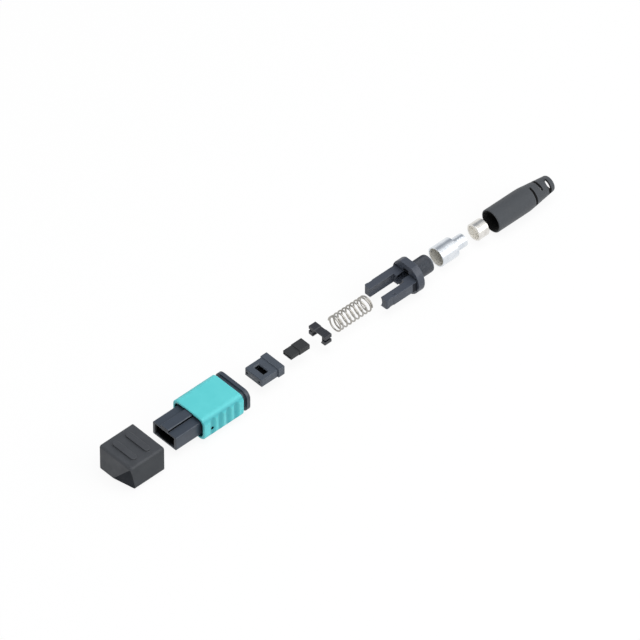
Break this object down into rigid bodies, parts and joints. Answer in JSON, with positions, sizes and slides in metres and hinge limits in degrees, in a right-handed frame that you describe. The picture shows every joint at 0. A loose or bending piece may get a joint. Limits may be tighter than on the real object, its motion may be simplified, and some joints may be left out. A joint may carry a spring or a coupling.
{
  "type": "multi-fibre push-on connector",
  "caption": "Push-on fibre ribbon connector laid out in assembly order: dust cap, keyed housing in a sliding sleeve, ferrule, springs, spring push, crimp parts and boot.",
  "frame": {"origin": "centre of the inner housing's mating face, on the connector's axis", "axes": "+X along the connector's axis towards the cable end, +Z towards the side with the key, +Y completing a right-handed frame"},
  "size_m": [0.1565, 0.0124, 0.0092],
  "materials": {
    "cap_plastic": "soft satin moulding",
    "housing_plastic": "satin moulding",
    "sleeve_plastic": "satin moulding",
    "ferrule_resin": "filled resin, lapped mating face",
    "keeper_plastic": "satin moulding",
    "push_plastic": "satin moulding",
    "boot_rubber": "matt rubber",
    "spring_wire": "drawn stainless wire",
    "crimp_metal": "bright turned"
  },
  "bodies": {
    "housing": {"inner_housing": "housing_plastic", "coupling_spring_left": "spring_wire", "coupling_spring_right": "spring_wire"},
    "cap": {"dust_cap": "cap_plastic"},
    "sleeve": {"coupling_sleeve": "sleeve_plastic"},
    "ferrule": {"mt_ferrule": "ferrule_resin"},
    "ferrule_guide": {"ferrule_boot": "boot_rubber"},
    "keeper": {"pin_keeper": "keeper_plastic"},
    "spring": {"main_spring": "spring_wire"},
    "push": {"spring_push": "push_plastic"},
    "tube": {"crimp_tube": "crimp_metal"},
    "ring": {"crimp_ring": "crimp_metal"},
    "relief": {"strain_relief_boot": "boot_rubber"}
  },
  "joints": [
    {"name": "cap_slide", "type": "slide", "parent": "housing", "child": "cap", "axis": [1, 0, 0], "range_m": [0, 0.0135]},
    {"name": "sleeve_slide", "type": "slide", "parent": "housing", "child": "sleeve", "axis": [1, 0, 0], "range_m": [0, 0.001], "stiffness_N_per_m": 50, "springref_m": -0.004, "deforming": ["coupling_spring_left", "coupling_spring_right"]},
    {"name": "ferrule_slide", "type": "slide", "parent": "housing", "child": "ferrule", "axis": [-1, 0, 0], "range_m": [0, 0.03129]},
    {"name": "ferrule_boot_slide", "type": "slide", "parent": "ferrule", "child": "ferrule_guide", "axis": [-1, 0, 0], "range_m": [0, 0.0072]},
    {"name": "keeper_slide", "type": "slide", "parent": "ferrule_guide", "child": "keeper", "axis": [-1, 0, 0], "range_m": [0, 0.00765]},
    {"name": "main_spring_slide", "type": "slide", "parent": "keeper", "child": "spring", "axis": [-1, 0, 0], "range_m": [0, 0.00365]},
    {"name": "push_slide", "type": "slide", "parent": "spring", "child": "push", "axis": [-1, 0, 0], "range_m": [0, 0.01176], "deforming": ["main_spring"]},
    {"name": "tube_slide", "type": "slide", "parent": "push", "child": "tube", "axis": [-1, 0, 0], "range_m": [0, 0.0085]},
    {"name": "ring_slide", "type": "slide", "parent": "tube", "child": "ring", "axis": [-1, 0, 0], "range_m": [0, 0.0075]},
    {"name": "relief_slide", "type": "slide", "parent": "ring", "child": "relief", "axis": [-1, 0, 0], "range_m": [0, 0.01285]}
  ]
}
